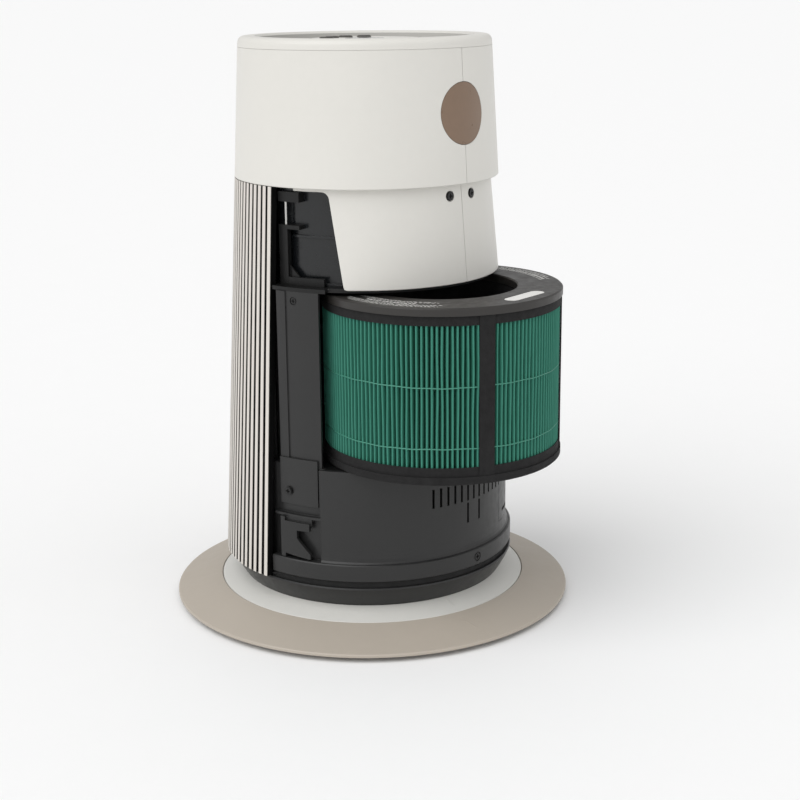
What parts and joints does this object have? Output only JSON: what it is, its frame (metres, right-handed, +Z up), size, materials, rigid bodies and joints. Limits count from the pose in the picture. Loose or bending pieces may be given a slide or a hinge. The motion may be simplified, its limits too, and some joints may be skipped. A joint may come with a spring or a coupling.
{
  "type": "air purifier",
  "caption": "Column air purifier on a round base disc, rear cover off, with a cylindrical pleated filter drawn out of its bay, a fan section and an outlet head.",
  "frame": {"origin": "on the floor, at the centre of the foot pad, which is the column's axis", "axes": "+Z up along the column, +Y towards the back, where the filter slides out, +X to the left when seen from behind the bay"},
  "size_m": [0.32, 0.3289, 0.446],
  "materials": {
    "pad_rubber": "matte",
    "ballast_steel": "plain",
    "taupe_plastic": "fine matte",
    "pale_grey_plastic": "fine matte",
    "screw_steel": "plain",
    "dark_grey_plastic": "satin moulded",
    "black_plastic": "matte",
    "circuit_board": "solder mask",
    "component_black": "matte",
    "gloss_black_plastic": "gloss",
    "bright_steel": "polished",
    "hook_plastic": "satin",
    "black_screw": "black oxide",
    "grille_black": "matte",
    "rib_plastic": "satin",
    "seal_rubber": "foam",
    "fan_black": "semi-gloss",
    "impeller_plastic": "satin",
    "motor_can": "satin",
    "white_plastic": "satin",
    "brown_plastic": "satin",
    "outlet_plastic": "satin",
    "pod_plastic": "satin",
    "display_glass": "gloss",
    "button_plastic": "satin",
    "filter_frame": "matte",
    "filter_paper": "pleated paper",
    "filter_mesh": "woven mesh",
    "label_white": "satin film"
  },
  "bodies": {
    "housing": {"foot_pad": "pad_rubber", "ballast_plate": "ballast_steel", "base_outer_ring": "taupe_plastic", "base_inner_ring": "pale_grey_plastic", "base_screws": "screw_steel", "foot_bowl": "dark_grey_plastic", "front_housing": "dark_grey_plastic", "lower_housing": "dark_grey_plastic", "bay_deck": "black_plastic", "power_board": "circuit_board", "power_board_parts": "component_black", "power_inlet": "gloss_black_plastic", "sensor_module": "black_plastic", "sensor_door_pin": "bright_steel", "left_cover_hook": "hook_plastic", "right_cover_hook": "hook_plastic", "left_post": "dark_grey_plastic", "right_post": "dark_grey_plastic", "left_post_bracket": "dark_grey_plastic", "right_post_bracket": "dark_grey_plastic", "housing_screws": "black_screw", "front_frame": "black_plastic", "front_grille_shell": "grille_black", "front_grille_ribs": "rib_plastic", "bay_top_plate": "black_plastic", "filter_seal": "seal_rubber", "bellmouth": "black_plastic", "fan_housing": "fan_black", "motor_body": "motor_can", "motor_bearings": "bright_steel", "diffuser": "black_plastic", "pin_brackets": "black_plastic", "catch_pins": "bright_steel", "skirt_left_shell": "white_plastic", "skirt_right_shell": "white_plastic", "skirt_screws": "black_screw", "collar_left_shell": "white_plastic", "collar_right_shell": "white_plastic", "release_spring": "bright_steel", "outlet_duct": "black_plastic", "outlet_grille": "outlet_plastic", "top_ring": "white_plastic", "control_pod": "pod_plastic", "control_board": "circuit_board", "display_lens": "display_glass"},
    "filter": {"filter_top_ring": "filter_frame", "filter_bottom_ring": "filter_frame", "filter_media": "filter_paper", "filter_core": "filter_mesh", "filter_trim": "filter_mesh", "filter_label": "label_white"},
    "fan_rotor": {"impeller": "impeller_plastic", "motor_rotor": "bright_steel", "motor_shaft": "bright_steel"},
    "release_button": {"release_button": "brown_plastic"},
    "sensor_door": {"sensor_door": "dark_grey_plastic"},
    "power_button": {"power_button": "button_plastic"},
    "mode_button": {"mode_button": "button_plastic"},
    "speed_button": {"speed_button": "button_plastic"},
    "timer_button": {"timer_button": "button_plastic"}
  },
  "joints": [
    {"name": "filter_slide", "type": "slide", "parent": "housing", "child": "filter", "axis": [0, 1, 0], "range_m": [-0.0767, 0.14]},
    {"name": "impeller_spin", "type": "hinge", "parent": "housing", "child": "fan_rotor", "pos_m": [0, 0, 0.3], "axis": [0, 0, 1], "continuous": true},
    {"name": "release_press", "type": "slide", "parent": "housing", "child": "release_button", "axis": [0, -1, 0], "range_m": [0, 0.0025], "stiffness_N_per_m": 1500, "springref_m": -0.001, "deforming": ["release_spring"]},
    {"name": "sensor_door_hinge", "type": "hinge", "parent": "housing", "child": "sensor_door", "pos_m": [-0.05532, 0.09206, 0.112], "axis": [0.8572, 0.515, 0], "range_deg": [0, 65]},
    {"name": "power_press", "type": "slide", "parent": "housing", "child": "power_button", "axis": [0, 0, -1], "range_m": [0, 0.0012], "stiffness_N_per_m": 800, "springref_m": -0.0008},
    {"name": "mode_press", "type": "slide", "parent": "housing", "child": "mode_button", "axis": [0, 0, -1], "range_m": [0, 0.0012], "stiffness_N_per_m": 800, "springref_m": -0.0008},
    {"name": "speed_press", "type": "slide", "parent": "housing", "child": "speed_button", "axis": [0, 0, -1], "range_m": [0, 0.0012], "stiffness_N_per_m": 800, "springref_m": -0.0008},
    {"name": "timer_press", "type": "slide", "parent": "housing", "child": "timer_button", "axis": [0, 0, -1], "range_m": [0, 0.0012], "stiffness_N_per_m": 800, "springref_m": -0.0008}
  ]
}
